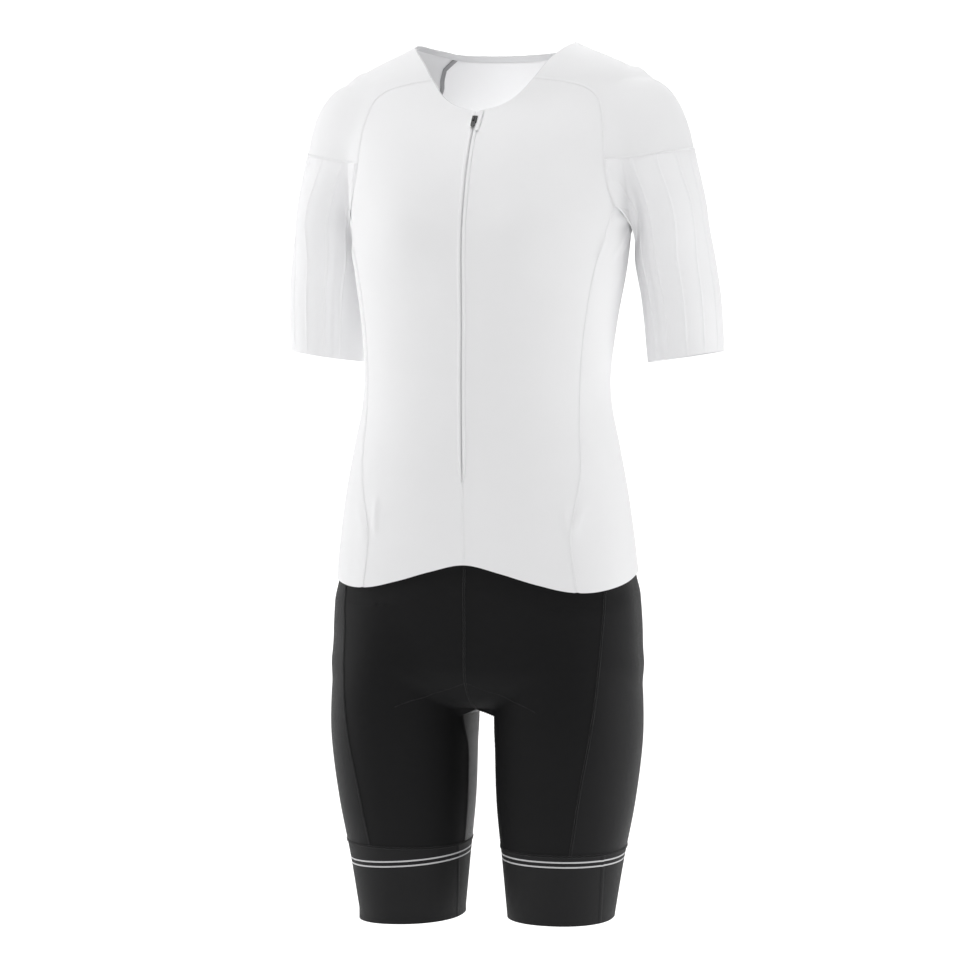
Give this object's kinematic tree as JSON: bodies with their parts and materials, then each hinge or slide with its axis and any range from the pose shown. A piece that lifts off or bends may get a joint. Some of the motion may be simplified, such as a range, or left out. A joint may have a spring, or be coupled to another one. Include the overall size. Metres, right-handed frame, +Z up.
{
  "type": "women's short-sleeved triathlon suit, worn shape",
  "caption": "One-piece triathlon suit in its worn, hollow shape: ribbed short sleeves, front zip, close shorts with leg bands.",
  "frame": {"origin": "middle of the shoulder line, halfway between the two shoulder points, where the wearer's shoulders hold the suit up", "axes": "+Z up the body, -Y out of the front, +X to the wearer's left"},
  "size_m": [0.4678, 0.2171, 0.8969],
  "materials": {
    "white_cloth": "smooth stretch knit, matt with a slight sheen",
    "rib_cloth": "ribbed stretch knit, matt",
    "grey_binding": "flat tape, matt",
    "black_cloth": "dense stretch knit, soft sheen at the sides",
    "band_cloth": "raw-edge elastic band, matt",
    "zip_tape": "woven tape",
    "zip_metal": "black enamel"
  },
  "bodies": {
    "suit": {"front_panel_left": "white_cloth", "front_panel_right": "white_cloth", "side_panel_left": "white_cloth", "side_panel_right": "white_cloth", "shoulder_panel_left": "white_cloth", "shoulder_panel_right": "white_cloth", "back_panel": "white_cloth", "sleeve_left": "rib_cloth", "sleeve_right": "rib_cloth", "neck_binding": "grey_binding", "zip_welt_left": "white_cloth", "zip_welt_right": "white_cloth", "zip_garage": "white_cloth", "zip_tape_left": "zip_tape", "zip_tape_right": "zip_tape", "zip_slider": "zip_metal", "zip_slider_bridge": "zip_metal", "shorts_front_left": "black_cloth", "shorts_front_right": "black_cloth", "shorts_side_left": "black_cloth", "shorts_side_right": "black_cloth", "shorts_back_left": "black_cloth", "shorts_back_right": "black_cloth", "shorts_inner_left": "black_cloth", "shorts_inner_right": "black_cloth", "leg_band_left": "band_cloth", "leg_band_right": "band_cloth"},
    "pull": {"zip_pull": "zip_metal"}
  },
  "joints": [
    {"name": "zip_pull_swing", "type": "hinge", "parent": "suit", "child": "pull", "pos_m": [0, -0.08992, -0.04884], "axis": [-1, 0, 0], "range_deg": [0, 170]}
  ]
}
